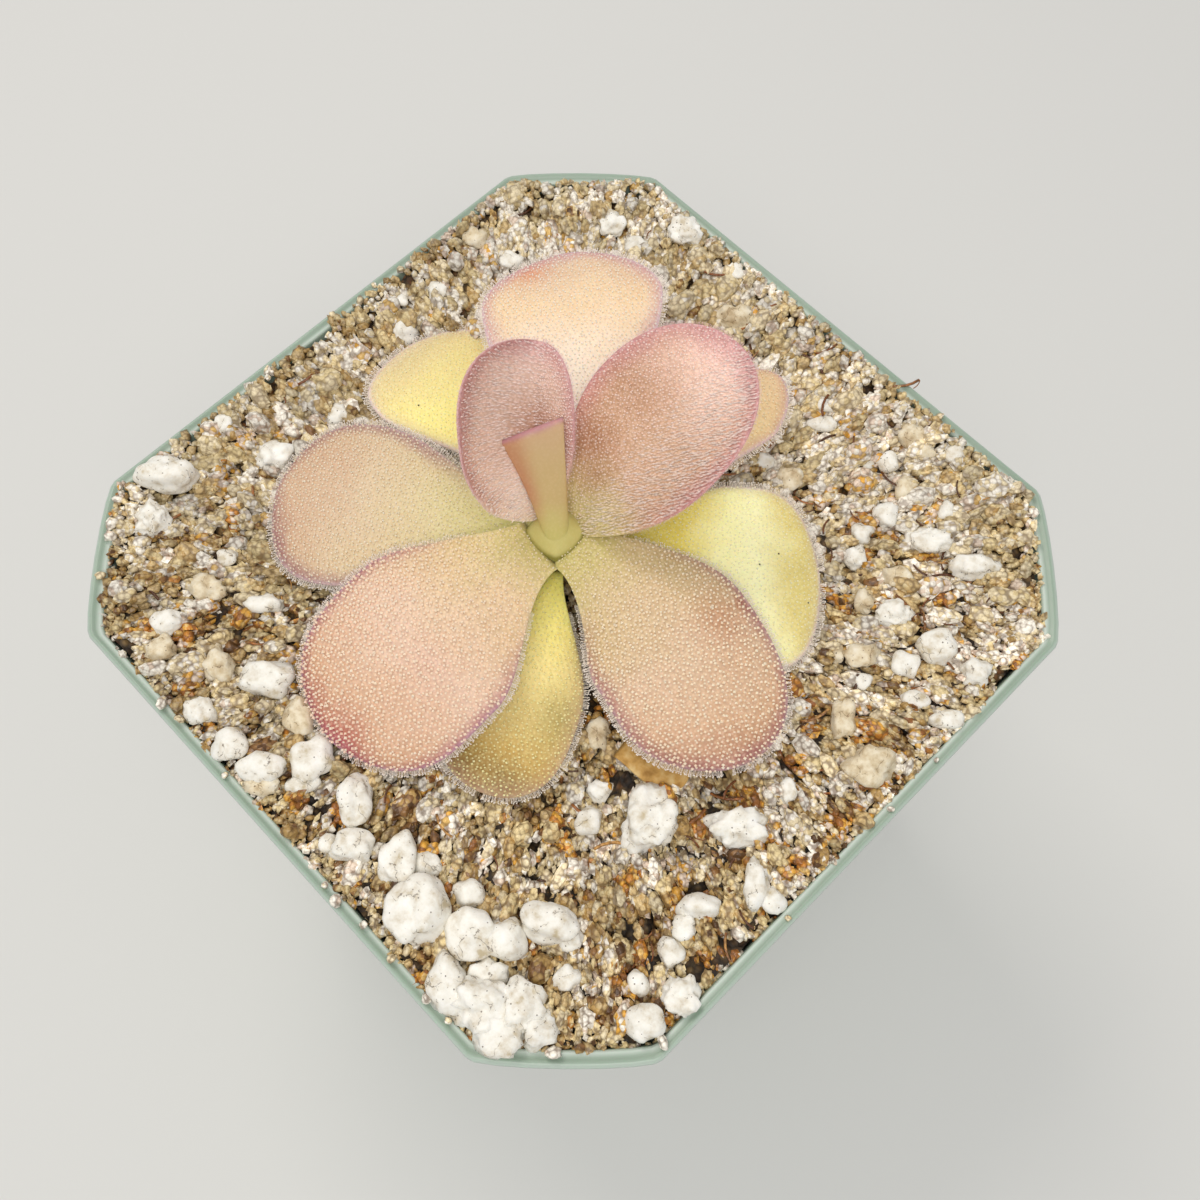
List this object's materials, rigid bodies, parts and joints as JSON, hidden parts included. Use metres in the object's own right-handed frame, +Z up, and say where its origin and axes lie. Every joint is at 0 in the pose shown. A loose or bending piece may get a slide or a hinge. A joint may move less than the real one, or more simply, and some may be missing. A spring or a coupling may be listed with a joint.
{
  "type": "butterwort in a square nursery pot",
  "caption": "Butterwort rosette of broad pinkish leaves growing in gritty mix with white perlite, in a square green plastic nursery pot with cut corners.",
  "frame": {"origin": "middle of the pot's underside, on the surface it stands on", "axes": "+Z up, X and Y square to the pot's flat sides; one cut corner of the pot points between +X and -Y"},
  "size_m": [0.089, 0.089, 0.1044],
  "materials": {
    "green_plastic": "satin moulded polypropylene, sage green",
    "grit": "rough mixed grit, sand and vermiculite",
    "perlite": "rough white expanded perlite",
    "crown": "moist green plant tissue",
    "leaf_peach": "succulent peach leaf with a mauve margin, covered with fine glands",
    "leaf_pink": "succulent dusty pink young leaf with fine pale hairs",
    "leaf_yellow": "succulent pale yellow old leaf",
    "leaf_olive": "succulent yellow-green leaf",
    "dead_leaf": "dry brown leaf tissue"
  },
  "bodies": {
    "root": {"pot": "green_plastic", "growing_mix": "grit", "perlite_01": "perlite", "perlite_02": "perlite", "perlite_03": "perlite", "perlite_04": "perlite", "perlite_05": "perlite", "perlite_06": "perlite", "perlite_07": "perlite", "perlite_08": "perlite", "perlite_09": "perlite", "perlite_10": "perlite", "perlite_11": "perlite", "perlite_12": "perlite", "perlite_13": "perlite", "perlite_14": "perlite", "perlite_15": "perlite", "perlite_16": "perlite", "perlite_17": "perlite", "perlite_18": "perlite", "perlite_19": "perlite", "perlite_20": "perlite", "perlite_21": "perlite", "perlite_22": "perlite", "crown": "crown", "leaf_low_rear_left": "leaf_yellow", "leaf_low_front": "leaf_olive", "leaf_low_right": "leaf_yellow", "leaf_rear_right": "leaf_olive", "leaf_left": "leaf_peach", "leaf_rear": "leaf_peach", "leaf_front_right": "leaf_peach", "leaf_front_left": "leaf_peach", "leaf_young_right": "leaf_pink", "leaf_young_rear": "leaf_pink", "leaf_centre": "leaf_olive", "dead_leaf": "dead_leaf"}
  },
  "joints": []
}
